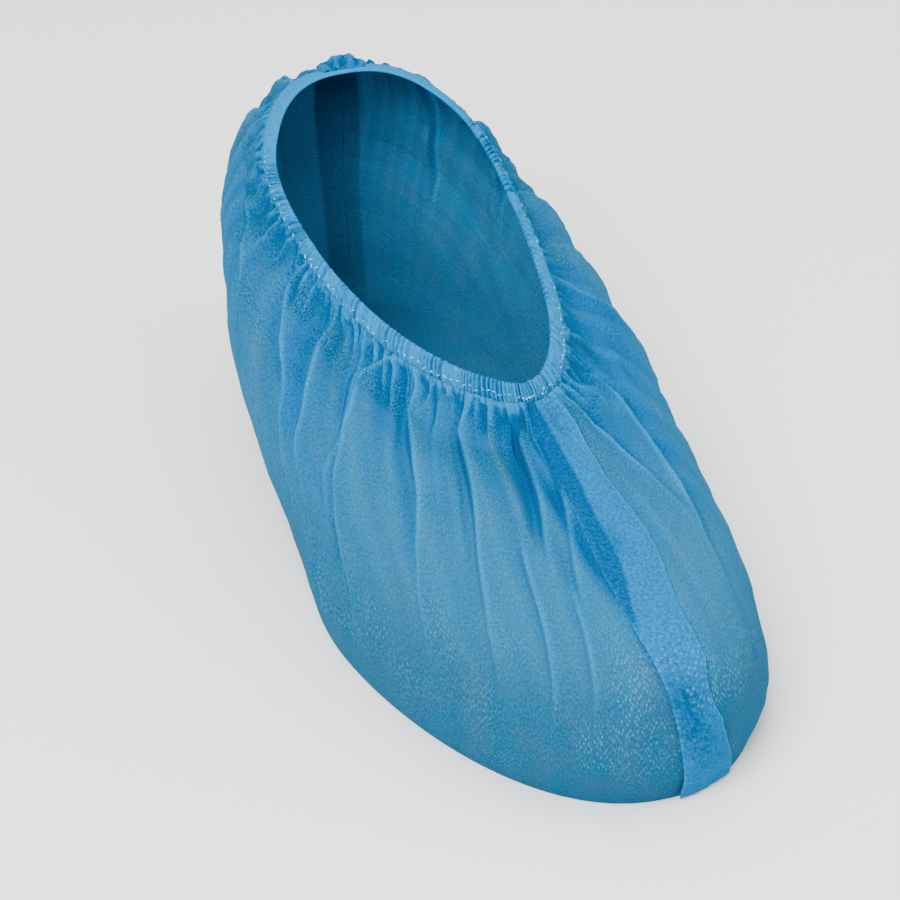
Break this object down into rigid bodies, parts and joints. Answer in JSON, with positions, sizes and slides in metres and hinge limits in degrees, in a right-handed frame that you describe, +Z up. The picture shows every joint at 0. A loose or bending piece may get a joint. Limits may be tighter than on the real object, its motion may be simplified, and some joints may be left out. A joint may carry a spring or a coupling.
{
  "type": "disposable shoe cover",
  "caption": "Disposable overshoe of thin blue non-woven cloth in its worn form, open at the mouth, with a ruched elastic hem, gathers, long folds and flat seam flaps.",
  "frame": {"origin": "on the floor, under the middle of the outline", "axes": "+Z up from the floor, the toe towards -Y, the heel towards +Y, the inner side of the right foot towards +X"},
  "size_m": [0.1144, 0.3048, 0.0929],
  "materials": {
    "nonwoven_cloth": "matte translucent spunbond cloth, single layer",
    "hem_cloth": "matte spunbond cloth ruched over elastic",
    "doubled_cloth": "matte spunbond cloth, several layers",
    "bunched_cloth": "matte spunbond cloth, bunched layers"
  },
  "bodies": {
    "root": {"cover_shell": "nonwoven_cloth", "elastic_hem": "hem_cloth", "toe_seam_flap": "doubled_cloth", "heel_seam_flap": "bunched_cloth"}
  },
  "joints": []
}
